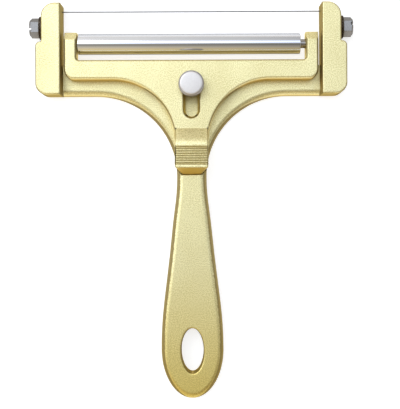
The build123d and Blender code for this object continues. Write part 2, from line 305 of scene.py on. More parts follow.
def side_shade_and_end_reflection_group() -> Tree:
    """Build the masks for painted shade on a casting's sides and a painted golden reflection on its ends.

    Returns:
        A group that gives two masks. Side, for painted shade, is 0 on faces, 1 where the surface turns away
        to the left or right, and less again where it stands upright. End, for a painted golden reflection,
        is 1 where it faces along the handle.
    """
    group, given = opened_group("dull_sides", {
        "End Share": (FLOAT, 0.0), "Upright Share": (FLOAT, 0.5), "Side From": (FLOAT, 0.44),
        "Side To": (FLOAT, 0.54), "Upright From": (FLOAT, 0.68), "Upright To": (FLOAT, 0.88),
        "End From": (FLOAT, 0.74), "End To": (FLOAT, 0.9)})
    facing = linked(group, "ShaderNodeSeparateXYZ",
                    Vector=group.nodes.new("ShaderNodeNewGeometry").outputs["Normal"]).outputs
    endways = product(group, facing["Y"], given["End Share"])
    sideways = product(group, facing["X"], facing["X"])
    turned = calculated(group, "SQRT", calculated(group, "ADD", sideways, product(group, endways, endways)))
    side = ranged(group, turned, given["Side From"], given["Side To"])
    upright = ranged(group, turned, given["Upright From"], given["Upright To"], 1.0, given["Upright Share"])
    end = ranged(group, calculated(group, "ABSOLUTE", facing["Y"]), given["End From"], given["End To"])
    return closed_group(group, Side=product(group, side, upright), End=end)


def wiped_film_group() -> Tree:
    """Build the uneven film that wiping leaves on plated metal.

    Returns:
        A group that gives a slow mask between 0 and 1, stretched along one way.
    """
    group, given = opened_group("wiped_film", {
        "Place": VECTOR, "Patch Rate": (FLOAT, 45.0), "Film From": (FLOAT, 0.34), "Film To": (FLOAT, 0.66)})
    stretched = linked(group, "ShaderNodeMapping", Vector=given["Place"], Scale=(1.0, 0.55, 1.0),
                       Rotation=(0.0, 0.0, math.radians(24)))
    cloud = linked(group, "ShaderNodeTexNoise", Vector=stretched.outputs["Vector"],
                   Scale=given["Patch Rate"], Detail=4.0, Roughness=0.55)
    return closed_group(group, Film=ranged(group, cloud.outputs["Fac"], given["Film From"], given["Film To"]))


def turned_lines_group() -> Tree:
    """Build the hair lines that turning and polishing leave round a bar along X.

    Returns:
        A group that gives a height made of fine rings.
    """
    group, given = opened_group("turned_lines", {"Place": VECTOR, "Line Rate": (FLOAT, 5000.0)})
    squeezed = linked(group, "ShaderNodeMapping", Vector=given["Place"], Scale=(1.0, 0.02, 0.02))
    lines = linked(group, "ShaderNodeTexNoise", Vector=squeezed.outputs["Vector"],
                   Scale=given["Line Rate"], Detail=2.0, Roughness=0.7)
    return closed_group(group, Height=lines.outputs["Fac"])


@dataclass
class SharedGroups:
    """The shader groups, each built once."""

    grain: Tree
    edges: Tree
    film: Tree
    lines: Tree
    sides: Tree

    @classmethod
    def build(cls) -> "SharedGroups":
        """Build every group."""
        return cls(blasted_grain_group(), edge_polish_and_outline_shade_group(), wiped_film_group(), turned_lines_group(),
                   side_shade_and_end_reflection_group())


def placed_group(tree: Tree, group: Tree, **inputs: object) -> Node:
    """Place a shader group in a material.

    Args:
        tree: The material's tree.
        group: The group.
        inputs: Values or sockets for its inputs.

    Returns:
        The group's node.
    """
    node = tree.nodes.new("ShaderNodeGroup")
    node.node_tree = group
    return plugged(tree, node, inputs)


def between(tree: Tree, mask: Socket, low: Colour | Socket, high: Colour | Socket) -> Socket:
    """Mix two colours by a mask.

    Args:
        tree: The material's tree.
        mask: 0 gives the low colour and 1 the high one.
        low: First colour, or the socket that gives it.
        high: Second colour, or the socket that gives it.

    Returns:
        The mixed colour.
    """
    mix = tree.nodes.new("ShaderNodeMix")
    mix.data_type = "RGBA"
    tree.links.new(mask, mix.inputs[0])
    for identifier, colour in (("A_Color", low), ("B_Color", high)):
        given = next(socket for socket in mix.inputs if socket.identifier == identifier)
        if isinstance(colour, Socket):
            tree.links.new(colour, given)
        else:
            given.default_value = (*colour, 1.0)
    return next(socket for socket in mix.outputs if socket.identifier == "Result_Color")


# Finishes


@dataclass(frozen=True)
class Finish:
    """A surface: two near colours that drift into each other, and how it scatters light.

    Shares say how much of an effect shows. The handle-end shade colours, painted shade that makes the
    handle darker and deeper gold towards its end, take over from the others between two places along Y.
    """

    name: str
    colour: Colour
    drift_colour: Colour
    roughness: float
    drift_roughness: float
    metallic: float = 1.0
    grain_size: float = 0.3 * MM
    grain_height: float = 0.02 * MM
    grain_strength: float = 0.2
    # Painted shade: the edge colour is a dark outline along edges and on sideways faces.
    edge_shade_colour: Colour = (0.5, 0.5, 0.5)
    edge_shade_share: float = 0.0
    # Painted shade: the side share darkens sideways faces towards the edge colour.
    side_shade_share: float = 0.0
    side_roughness: float = 0.0
    upright_share: float = 0.5
    end_share: float = 0.0
    # Painted reflection: the end colour is a golden reflection on faces along the handle.
    end_reflection_colour: Colour | None = None
    handle_end_shade_colour: Colour | None = None
    handle_end_shade_drift_colour: Colour | None = None
    shade_from_y: float = 0.0
    shade_to_y: float = 0.0
    rim_tint: Colour = (1.0, 1.0, 1.0)
    speckle_share: float = 0.3
    polish: float = 0.08
    lines_height: float = 0.0
    lines_strength: float = 0.5

    def material(self, shared: SharedGroups) -> Material:
        """Build the material.

        Args:
            shared: The shader groups.

        Returns:
            The material, which reads Object coordinates only.
        """
        made = bpy.data.materials.new(self.name)
        made.use_nodes = True
        tree = made.node_tree
        shader = tree.nodes["Principled BSDF"]
        place = tree.nodes.new("ShaderNodeTexCoord").outputs["Object"]
        grain = placed_group(tree, shared.grain, Place=place, Grain_Size=self.grain_size)
        film = placed_group(tree, shared.film, Place=place)
        edges = placed_group(tree, shared.edges, Place=place)
        sides = placed_group(tree, shared.sides, End_Share=self.end_share, Upright_Share=self.upright_share)
        speckled = product(tree, grain.outputs["Speckle"], self.speckle_share)
        clouded = product(tree, film.outputs["Film"], 1.0 - self.speckle_share)
        pale, deep = self.colour, self.drift_colour
        # Painted shade: the handle turns darker and deeper gold towards its end.
        if self.handle_end_shade_colour and self.handle_end_shade_drift_colour:
            along = linked(tree, "ShaderNodeSeparateXYZ", Vector=place).outputs["Y"]
            handle_end_mask = ranged(tree, along, self.shade_from_y, self.shade_to_y)
            pale = between(tree, handle_end_mask, self.colour, self.handle_end_shade_colour)
            deep = between(tree, handle_end_mask, self.drift_colour, self.handle_end_shade_drift_colour)
        flat_colour = between(tree, calculated(tree, "ADD", speckled, clouded), pale, deep)
        # Painted reflection: a golden reflection mixed in on faces that look along the handle.
        if self.end_reflection_colour:
            flat_colour = between(tree, sides.outputs["End"], flat_colour, self.end_reflection_colour)
        # Painted shade: sideways faces darkened towards the edge colour.
        side_shade_mask = product(tree, sides.outputs["Side"], self.side_shade_share)
        # Painted shade: a dark outline along rounded edges, mixed in with the side shade as the edge colour.
        rim_shade_mask = product(tree, edges.outputs["Edge"], self.edge_shade_share)
        edge_shade_mask = calculated(tree, "MAXIMUM", side_shade_mask, rim_shade_mask)
        tree.links.new(between(tree, edge_shade_mask, flat_colour, self.edge_shade_colour), shader.inputs["Base Color"])
        drifted = ranged(tree, film.outputs["Film"], 0.0, 1.0, self.roughness, self.drift_roughness)
        polished = product(tree, edges.outputs["Edge"], self.polish)
        roughened = product(tree, sides.outputs["Side"], self.side_roughness)
        face_roughness = calculated(tree, "SUBTRACT", drifted, polished)
        tree.links.new(calculated(tree, "ADD", face_roughness, roughened), shader.inputs["Roughness"])
        shader.inputs["Specular Tint"].default_value = (*self.rim_tint, 1.0)
        shader.inputs["Metallic"].default_value = self.metallic
        bump = linked(tree, "ShaderNodeBump", Strength=self.grain_strength, Distance=self.grain_height,
                      Height=grain.outputs["Height"])
        if self.lines_height:
            lines = placed_group(tree, shared.lines, Place=place)
            bump = linked(tree, "ShaderNodeBump", Strength=self.lines_strength, Distance=self.lines_height,
                          Height=lines.outputs["Height"], Normal=bump.outputs["Normal"])
        tree.links.new(bump.outputs["Normal"], shader.inputs["Normal"])
        return made


# Edge and side colours in these finishes are painted shade, a dark outline along edges and sideways faces;
# end colours are a painted golden reflection.
BLASTED_GOLD = Finish("blasted_gold_plate", colour=(0.97, 0.875, 0.505), drift_colour=(0.67, 0.575, 0.262),
                      edge_shade_colour=(0.26, 0.19, 0.07), edge_shade_share=0.85, side_shade_share=0.85, side_roughness=0.15,
                      end_reflection_colour=(0.92, 0.74, 0.31), rim_tint=(0.55, 0.42, 0.22), speckle_share=0.85,
                      roughness=0.40, drift_roughness=0.47, grain_size=0.5 * MM, grain_height=0.04 * MM,
                      grain_strength=1.0, polish=0.10, upright_share=0.85, end_share=0.5,
                      # Painted shade: the handle-end colours darken the handle towards its end.
                      handle_end_shade_colour=(0.873, 0.700, 0.24), handle_end_shade_drift_colour=(0.603, 0.46, 0.125),
                      shade_from_y=-31 * MM, shade_to_y=-90 * MM)
CARRIAGE_GOLD = replace(BLASTED_GOLD, name="blasted_gold_carriage", rim_tint=(0.88, 0.70, 0.36),
                        edge_shade_share=0.55, upright_share=0.0, end_share=0.0)
POLISHED_TUBE = Finish("polished_roller_steel", colour=(0.71, 0.71, 0.72), drift_colour=(0.67, 0.67, 0.69),
                       rim_tint=(0.4, 0.4, 0.4), roughness=0.07, drift_roughness=0.12,
                       grain_height=0.002 * MM, lines_height=0.004 * MM)
# Painted shade: a darker copy of the roller steel for the axle stub, which sits in shade; its rougher surface
# is the axle's own.
SHADED_AXLE_STEEL = replace(POLISHED_TUBE, name="turned_axle_steel", colour=(0.36, 0.34, 0.31),
                     drift_colour=(0.30, 0.28, 0.25), roughness=0.2, drift_roughness=0.28)
DRAWN_WIRE = Finish("drawn_wire_steel", colour=(0.16, 0.16, 0.165), drift_colour=(0.11, 0.11, 0.115),
                    rim_tint=(0.3, 0.3, 0.3), roughness=0.28, drift_roughness=0.36, lines_height=0.002 * MM)
SATIN_NICKEL = Finish("satin_nickel_plate", colour=(0.78, 0.735, 0.68), drift_colour=(0.67, 0.62, 0.575),
                      edge_shade_colour=(0.30, 0.28, 0.29), edge_shade_share=0.3, side_shade_share=0.8, end_share=1.0,
                      rim_tint=(0.25, 0.24, 0.25), roughness=0.42, drift_roughness=0.50,
                      grain_size=0.6 * MM, grain_height=0.03 * MM, grain_strength=0.5)
ZINC_STEEL = Finish("zinc_plated_steel", colour=(0.30, 0.28, 0.255), drift_colour=(0.18, 0.166, 0.152),
                    edge_shade_colour=(0.07, 0.065, 0.06), edge_shade_share=0.85, rim_tint=(0.5, 0.5, 0.5),
                    roughness=0.22, drift_roughness=0.34, grain_size=0.6 * MM)
# Dark steel for the lock washers; its brown tone is partly painted shade of the gap under the screw heads.
DARK_STEEL_AND_GAP_SHADE = Finish("dark_oiled_steel", colour=(0.10, 0.075, 0.055), drift_colour=(0.06, 0.045, 0.03),
                     rim_tint=(0.2, 0.2, 0.2), roughness=0.30, drift_roughness=0.42, grain_size=0.5 * MM)
NATURAL_NYLON = Finish("moulded_nylon", colour=(0.80, 0.78, 0.72), drift_colour=(0.76, 0.73, 0.66),
                       roughness=0.45, drift_roughness=0.55, metallic=0.0, grain_height=0.01 * MM)

FINISH_OF_SLOT = {
    Slot.GOLD: BLASTED_GOLD,
    Slot.WIRE: DRAWN_WIRE,
    Slot.ROLLER: POLISHED_TUBE,
    Slot.KNOB: SATIN_NICKEL,
    Slot.SCREW: ZINC_STEEL,
    Slot.LOCK_WASHER: DARK_STEEL_AND_GAP_SHADE,
    Slot.NYLON: NATURAL_NYLON,
}
OWN_FINISHES = (CARRIAGE_GOLD, SHADED_AXLE_STEEL)


# Mesh helpers


def box_of(node: str) -> tuple[Vector, Vector, Vector]:
    """Measure a node's box.

    Args:
        node: The node's name.

    Returns:
        Its lowest corner, its highest corner and its middle.
    """
    low, high = (Vector(corner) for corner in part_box(node))
    return low, high, (low + high) / 2


def shown(name: str, data: bpy.types.ID) -> Piece:
    """Put a mesh, a lamp or a camera in the scene as an object at the origin.

    Args:
        name: The object's name.
        data: The mesh, lamp or camera.

    Returns:
        The object.
    """
    piece = bpy.data.objects.new(name, data)
    bpy.context.scene.collection.objects.link(piece)
    return piece


def shade_by_angle(mesh: bpy.types.Mesh, sharp_angle: float) -> None:
    """Shade a mesh smooth, apart from its sharp edges.

    Args:
        mesh: The mesh.
        sharp_angle: Edges whose faces turn by more than this stay sharp.
    """
    form = bmesh.new()
    form.from_mesh(mesh)
    for face in form.faces:
        face.smooth = True
    for edge in form.edges:
        edge.smooth = len(edge.link_faces) == 2 and edge.calc_face_angle(0.0) < sharp_angle
    form.to_mesh(mesh)
    form.free()


def rounded_copy(frame: dict, node: str, name: str, width: float, shortest: float = SAME_PLACE) -> Piece:
    """Copy a node's mesh as one closed skin with whole flat faces, and round its sharp edges.

    Args:
        frame: The loaded frame.
        node: The node's name.
        name: The new piece's name.
        width: The width of the rounding.
        shortest: Edges shorter than this are closed up. Where it is set, the rounding keeps its
            width beside the shortest edges that are left.

    Returns:
        The new piece.
    """
    form = bmesh.new()
    form.from_mesh(frame["nodes"][node].data)
    bmesh.ops.remove_doubles(form, verts=form.verts, dist=SAME_PLACE)
    bmesh.ops.dissolve_degenerate(form, edges=form.edges, dist=shortest)
    bmesh.ops.dissolve_limit(form, angle_limit=SAME_PLANE_ANGLE, verts=form.verts, edges=form.edges)
    mesh = bpy.data.meshes.new(name)
    form.to_mesh(mesh)
    form.free()
    shade_by_angle(mesh, COPY_SHADING_ANGLE)
    piece = shown(name, mesh)
    bevel = piece.modifiers.new("edge_rounding", "BEVEL")
    bevel.width = width
    bevel.segments = 2
    bevel.limit_method = "ANGLE"
    bevel.use_clamp_overlap = shortest == SAME_PLACE
    bevel.angle_limit = ROUNDED_FROM
    bevel.miter_outer = "MITER_ARC"
    weighted = piece.modifiers.new("flat_faces_first", "WEIGHTED_NORMAL")
    weighted.keep_sharp = True
    return piece


def made_plain(piece: Piece) -> Piece:
    """Turn a piece's modifiers into its plain mesh.

    Args:
        piece: The piece, with its modifiers.

    Returns:
        The piece, with none.
    """
    graph = bpy.context.evaluated_depsgraph_get()
    mesh = bpy.data.meshes.new_from_object(piece.evaluated_get(graph), depsgraph=graph)
    piece.modifiers.clear()
    piece.data = mesh
    mesh.name = piece.name
    return piece


# Geometry trees


def filleted(tree: Tree, curve: Socket, radius: Socket, steps: int) -> Socket:
    """Round a curve's corners.

    Args:
        tree: The geometry tree.
        curve: The curve.
        radius: The rounding's radius.
        steps: How many points each rounding gets.

    Returns:
        The rounded curve.
    """
    node = linked(tree, "GeometryNodeFilletCurve", Curve=curve, Radius=radius, Limit_Radius=True)
    if hasattr(node, "mode"):
        node.mode = "POLY"
    return plugged(tree, node, {"Count": steps}).outputs["Curve"]


class GeometryRecipe:
    """A geometry tree with named inputs, used for every piece that follows its rule."""

    sharp_angle: float = 0.0

    def __init__(self, name: str, inputs: dict[str, tuple[str, object]]) -> None:
        """Start the tree.

        Args:
            name: The tree's name.
            inputs: Socket type and default value, by input name.
        """
        self.tree, self.given = opened_group(
            name, inputs | {"Material": ("NodeSocketMaterial", None)}, "GeometryNodeTree")

    def end(self, geometry: Socket, **placing: Socket) -> None:
        """Close the tree: the geometry in its place, with real instances and a material.

        Args:
            geometry: What the tree has made.
            placing: Its translation and rotation.
        """
        placed = linked(self.tree, "GeometryNodeTransform", Geometry=geometry, **placing)
        real = linked(self.tree, "GeometryNodeRealizeInstances", Geometry=placed.outputs["Geometry"])
        dressed = linked(self.tree, "GeometryNodeSetMaterial", Geometry=real.outputs["Geometry"],
                         Material=self.given["Material"])
        closed_group(self.tree, "NodeSocketGeometry", Geometry=dressed.outputs["Geometry"])

    def make(self, name: str, material: Material, **values: object) -> Piece:
        """Make one piece by the recipe.

        Args:
            name: The piece's name.
            material: Its material.
            values: The tree's inputs, by name with underscores for spaces.

        Returns:
            The piece, with a plain mesh.
        """
        piece = shown(name, bpy.data.meshes.new(name))
        modifier = piece.modifiers.new(self.tree.name, "NODES")
        modifier.node_group = self.tree
        wanted = {key.replace("_", " "): value for key, value in values.items()} | {"Material": material}
        for item in self.tree.interface.items_tree:
            if item.in_out == "INPUT" and item.name in wanted:
                modifier[item.identifier] = wanted[item.name]
        made_plain(piece)
        if self.sharp_angle:
            shade_by_angle(piece.data, self.sharp_angle)
        return piece


class TurnedRing(GeometryRecipe):
    """A ring turned about an axis: a rounded oblong section swept round a circle."""

    sharp_angle = math.radians(40)
    edge_steps = 4

    def __init__(self) -> None:
        """Build the tree."""
        super().__init__("turned_ring", {
            "Bore Radius": (FLOAT, 1 * MM), "Outer Radius": (FLOAT, 2 * MM), "Length": (FLOAT, 5 * MM),
            "Edge Radius": (FLOAT, 0.1 * MM), "Centre": VECTOR, "Turn": ROTATION, "Facets": (WHOLE, 96)})
        tree, given = self.tree, self.given
        wall = calculated(tree, "SUBTRACT", given["Outer Radius"], given["Bore Radius"])
        both = calculated(tree, "ADD", given["Outer Radius"], given["Bore Radius"])
        path = linked(tree, "GeometryNodeCurvePrimitiveCircle", Resolution=given["Facets"],
                      Radius=product(tree, both, 0.5))
        section = linked(tree, "GeometryNodeCurvePrimitiveQuadrilateral", Width=wall, Height=given["Length"])
        rounded = filleted(tree, section.outputs["Curve"], given["Edge Radius"], self.edge_steps)
        skin = linked(tree, "GeometryNodeCurveToMesh", Curve=path.outputs["Curve"], Profile_Curve=rounded)
        self.end(skin.outputs["Mesh"], Translation=given["Centre"], Rotation=given["Turn"])


class TurnedTeeth(GeometryRecipe):
    """A rim of teeth round an axis along X: one small block, repeated round a circle."""

    def __init__(self) -> None:
        """Build the tree."""
        super().__init__("turned_teeth", {
            "Radius": (FLOAT, 5 * MM), "Tooth Size": VECTOR, "Count": (WHOLE, 24), "Skew": (FLOAT, 0.3),
            "Centre": VECTOR})
        tree, given = self.tree, self.given
        tooth = linked(tree, "GeometryNodeMeshCube", Size=given["Tooth Size"])
        spots = linked(tree, "GeometryNodePoints", Count=given["Count"])
        index = tree.nodes.new("GeometryNodeInputIndex").outputs["Index"]
        step = calculated(tree, "DIVIDE", math.tau, given["Count"])
        angle = product(tree, index, step)
        out_y = product(tree, calculated(tree, "COSINE", angle), given["Radius"])
        out_z = product(tree, calculated(tree, "SINE", angle), given["Radius"])
        ring_place = linked(tree, "ShaderNodeCombineXYZ", Y=out_y, Z=out_z)
        spread = linked(tree, "GeometryNodeSetPosition", Geometry=spots.outputs["Geometry"],
                        Position=ring_place.outputs["Vector"])
        turn = linked(tree, "ShaderNodeCombineXYZ", X=calculated(tree, "ADD", angle, given["Skew"]))
        teeth = linked(tree, "GeometryNodeInstanceOnPoints", Points=spread.outputs["Geometry"],
                       Instance=tooth.outputs["Mesh"], Rotation=turn.outputs["Vector"])
        self.end(teeth.outputs["Instances"], Translation=given["Centre"])


class ScrewThread(GeometryRecipe):
    """A screw's thread: a ridge wound round its shank."""

    steps_a_turn = 24
    ridge_sides = 4

    def __init__(self) -> None:
        """Build the tree."""
        super().__init__("screw_thread", {
            "Pitch": (FLOAT, 0.7 * MM), "Radius": (FLOAT, 2 * MM), "Length": (FLOAT, 8 * MM),
            "Ridge": (FLOAT, 0.2 * MM), "Start": VECTOR})
        tree, given = self.tree, self.given
        root = calculated(tree, "SUBTRACT", given["Radius"], given["Ridge"])
        winding = linked(tree, "GeometryNodeCurveSpiral", Resolution=self.steps_a_turn, Start_Radius=root,
                         End_Radius=root, Height=given["Length"],
                         Rotations=calculated(tree, "DIVIDE", given["Length"], given["Pitch"]))
        ridge = linked(tree, "GeometryNodeCurvePrimitiveCircle", Resolution=self.ridge_sides,
                       Radius=given["Ridge"])
        skin = linked(tree, "GeometryNodeCurveToMesh", Curve=winding.outputs["Curve"],
                      Profile_Curve=ridge.outputs["Curve"], Fill_Caps=True)
        self.end(skin.outputs["Mesh"], Translation=given["Start"])


class BentWire(GeometryRecipe):
    """The cutting wire: one span between two bends, with both ends turned down into the posts."""

    sharp_angle = math.radians(50)
    corners = 4
    bend_steps = 10
    sides = 16

    def __init__(self) -> None:
        """Build the tree."""
        super().__init__("bent_wire", {
            "Half Span": (FLOAT, 60 * MM), "Wire Y": (FLOAT, 90 * MM), "End Y": (FLOAT, 80 * MM),
            "Height": (FLOAT, 5 * MM), "Bend Radius": (FLOAT, 1 * MM), "Wire Radius": (FLOAT, 0.25 * MM)})
        tree, given = self.tree, self.given
        middle_index = (self.corners - 1) / 2
        points = linked(tree, "GeometryNodePoints", Count=self.corners)
        index = tree.nodes.new("GeometryNodeInputIndex").outputs["Index"]
        far_half = calculated(tree, "GREATER_THAN", index, middle_index)
        sign = calculated(tree, "SUBTRACT", product(tree, far_half, 2.0), 1.0)
        from_middle = calculated(tree, "ABSOLUTE", calculated(tree, "SUBTRACT", index, middle_index))
        is_end = calculated(tree, "GREATER_THAN", from_middle, 1.0)
        drop = product(tree, is_end, calculated(tree, "SUBTRACT", given["Wire Y"], given["End Y"]))
        place = linked(tree, "ShaderNodeCombineXYZ", X=product(tree, sign, given["Half Span"]),
                       Y=calculated(tree, "SUBTRACT", given["Wire Y"], drop), Z=given["Height"])
        set_place = linked(tree, "GeometryNodeSetPosition", Geometry=points.outputs["Geometry"],
                           Position=place.outputs["Vector"])
        path = linked(tree, "GeometryNodePointsToCurves", Points=set_place.outputs["Geometry"])
        bent = filleted(tree, path.outputs["Curves"], given["Bend Radius"], self.bend_steps)
        round_section = linked(tree, "GeometryNodeCurvePrimitiveCircle", Resolution=self.sides,
                               Radius=given["Wire Radius"])
        skin = linked(tree, "GeometryNodeCurveToMesh", Curve=bent,
                      Profile_Curve=round_section.outputs["Curve"], Fill_Caps=True)
        self.end(skin.outputs["Mesh"])


# Sub-assemblies


@dataclass
class Workshop:
    """Holds the frame, the materials and the recipes, and sends each finished piece to its body."""

    frame: dict
    materials: dict[Slot, Material]
    own: dict[Finish, Material]
    rings: TurnedRing
    teeth: TurnedTeeth
    threads: ScrewThread
    wires: BentWire

    @classmethod
    def open(cls, frame: dict) -> "Workshop":
        """Build one material for each slot, those of single pieces, and the recipes.

        Args:
            frame: The loaded frame.

        Returns:
            The workshop.
        """
        shared = SharedGroups.build()
        return cls(frame, {slot: finish.material(shared) for slot, finish in FINISH_OF_SLOT.items()},
                   {finish: finish.material(shared) for finish in OWN_FINISHES},
                   TurnedRing(), TurnedTeeth(), ScrewThread(), BentWire())

    def finish(self, piece: Piece, slot: Slot, body: Body, *nodes: str,
               own: Finish | None = None) -> Piece:
        """Give a piece its finish, its body and the nodes that it stands for.

        Args:
            piece: The piece's object, in its place.
            slot: The finish.
            body: The body that it rides on.
            nodes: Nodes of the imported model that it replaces.
            own: Its own finish, where it differs from the slot's.

        Returns:
            The piece.
        """
        piece.data.materials.clear()
        piece.data.materials.append(self.own[own] if own else self.materials[slot])
        if nodes:
            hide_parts(*nodes)
        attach(piece, body.value)
        log.info("%s: %d faces, rides on %s", piece.name, len(piece.data.polygons), body.value)
        return piece


@dataclass
class FrameCasting:
    """Handle, yoke and posts: one plated casting."""

    edge_rounding: float = 0.36 * MM
    shortest_edge: float = 0.03 * MM

    def build(self, shop: Workshop) -> None:
        """Round the casting's edges and dress it.

        Args:
            shop: The workshop.
        """
        casting = rounded_copy(shop.frame, "frame_handle", "frame_casting", self.edge_rounding,
                               self.shortest_edge)
        shop.finish(casting, Slot.GOLD, Body.FRAME, "frame_handle")


@dataclass
class Carriage:
    """Bar, arms, slotted plate and thumb rest: one plated casting, with the roller's axle."""

    edge_rounding: float = 0.3 * MM
    shortest_edge: float = 0.03 * MM
    axle_edge: float = 0.15 * MM

    def build(self, shop: Workshop) -> None:
        """Round the casting's edges and dress it and the axle.

        Args:
            shop: The workshop.
        """
        casting = rounded_copy(shop.frame, "roller_carriage", "carriage_casting", self.edge_rounding,
                               self.shortest_edge)
        shop.finish(casting, Slot.GOLD, Body.CARRIAGE, "roller_carriage", own=CARRIAGE_GOLD)
        axle = rounded_copy(shop.frame, "roller_axle", "roller_pin", self.axle_edge)
        shop.finish(axle, Slot.ROLLER, Body.CARRIAGE, "roller_axle", own=SHADED_AXLE_STEEL)


@dataclass
class Roller:
    """Steel tube that turns on two nylon bushes."""

    wall: float = 1.0 * MM
    bush_gap: float = 0.02 * MM
    axle_gap: float = 0.05 * MM
    edge: float = 0.35 * MM
    bush_edge: float = 0.2 * MM
    facets: int = 128
    bush_facets: int = 64

    def build(self, shop: Workshop) -> None:
        """Make the tube and its bushes.

        Args:
            shop: The workshop.
        """
        low, high, middle = box_of("roller_tube")
        radius = (high.y - low.y) / 2
        bore = radius - self.wall
        tube = shop.rings.make("roller_sleeve", shop.materials[Slot.ROLLER], Bore_Radius=bore,
                               Outer_Radius=radius, Length=high.x - low.x, Edge_Radius=self.edge,
                               Centre=middle, Turn=ALONG_X, Facets=self.facets)
        shop.finish(tube, Slot.ROLLER, Body.ROLLER, "roller_tube")
        axle_low, axle_high, _ = box_of("roller_axle")
        axle_radius = (axle_high.y - axle_low.y) / 2
        for side in Side:
            node = side.word + "_roller_bush"
            low, high, middle = box_of(node)
            bush = shop.rings.make(
                side.word + "_nylon_bush", shop.materials[Slot.NYLON],
                Bore_Radius=axle_radius + self.axle_gap, Outer_Radius=bore - self.bush_gap,
                Length=high.x - low.x, Edge_Radius=self.bush_edge, Centre=middle, Turn=ALONG_X,
                Facets=self.bush_facets)
            shop.finish(bush, Slot.NYLON, Body.ROLLER, node)


@dataclass
class ClampKnob:
    """Silver knob with a threaded stem, its washer and the guide bush in the slot."""

    neck_radius: float = 4.7 * MM
    neck_height: float = 1.5 * MM
    edge_radius: float = 1.4 * MM
    foot_radius: float = 0.7 * MM
    crown: float = 0.12 * MM
    facets: int = 96
    foot_steps: int = 6
    edge_steps: int = 9
    crown_steps: int = 7
    sharp_angle: float = math.radians(50)
    same_place: float = 0.001 * MM
    pitch: float = 0.7 * MM
    ridge: float = 0.2 * MM
    crest_height: float = 0.02 * MM
    plain_pitches: int = 3
    stem_edge: float = 0.1 * MM
    washer_edge: float = 0.12 * MM

    def section(self, radius: float, low_z: float, high_z: float) -> list[tuple[float, float]]:
        """The knob's half section, from the neck's foot to the middle of its crown.

        Args:
            radius: The head's radius.
            low_z: The neck's foot.
            high_z: The crown's top.

        Returns:
            Distances from the axis and heights.
        """
        foot_z = low_z + self.neck_height
        points = [(0.0, low_z), (self.neck_radius - self.foot_radius / 2, low_z),
                  (self.neck_radius, low_z + self.foot_radius / 2), (self.neck_radius, foot_z)]
        for step in range(self.foot_steps + 1):
            angle = math.pi / 2 * step / self.foot_steps
            points.append((radius - self.foot_radius * (1 - math.sin(angle)),
                           foot_z + self.foot_radius * (1 - math.cos(angle))))
        shoulder_z = high_z - self.crown - self.edge_radius
        for step in range(1, self.edge_steps + 1):
            angle = math.pi / 2 * step / self.edge_steps
            points.append((radius - self.edge_radius * (1 - math.cos(angle)),
                           shoulder_z + self.edge_radius * math.sin(angle)))
        flat = radius - self.edge_radius
        for step in range(1, self.crown_steps):
            share = step / self.crown_steps
            points.append((flat * (1 - share), high_z - self.crown * (1 - share) ** 2))
        points.append((0.0, high_z))
        return points

    def build(self, shop: Workshop) -> None:
        """Make the knob, its stem and thread, the washer and the bush.

        Args:
            shop: The workshop.
        """
        low, high, middle = box_of("clamp_knob")
        form = bmesh.new()
        outline = [form.verts.new((middle.x + out, middle.y, height))
                   for out, height in self.section((high.x - low.x) / 2, low.z, high.z)]
        edges = [form.edges.new(pair) for pair in zip(outline, outline[1:])]
        bmesh.ops.spin(form, geom=outline + edges, cent=middle, axis=(0, 0, 1), angle=math.tau,
                       steps=self.facets, use_merge=True)
        bmesh.ops.remove_doubles(form, verts=form.verts, dist=self.same_place)
        bmesh.ops.recalc_face_normals(form, faces=form.faces)
        mesh = bpy.data.meshes.new("knob_head")
        form.to_mesh(mesh)
        form.free()
        shade_by_angle(mesh, self.sharp_angle)
        shop.finish(shown("knob_head", mesh), Slot.KNOB, Body.KNOB, "clamp_knob")

        stem = rounded_copy(shop.frame, "clamp_screw", "knob_stem", self.stem_edge)
        shop.finish(stem, Slot.SCREW, Body.KNOB, "clamp_screw")
        stem_low, stem_high, _ = box_of("clamp_screw")
        thread = shop.threads.make(
            "knob_stem_thread", shop.materials[Slot.SCREW], Pitch=self.pitch, Ridge=self.ridge,
            Radius=(stem_high.x - stem_low.x) / 2 + self.crest_height,
            Length=low.z - stem_low.z - self.plain_pitches * self.pitch,
            Start=(middle.x, middle.y, stem_low.z + self.pitch))
        shop.finish(thread, Slot.SCREW, Body.KNOB)

        for node, name, body in (("clamp_washer", "flat_washer", Body.WASHER),
                                 ("guide_bush", "slot_guide", Body.FRAME)):
            piece = rounded_copy(shop.frame, node, name, self.washer_edge)
            shop.finish(piece, Slot.SCREW, body, node)


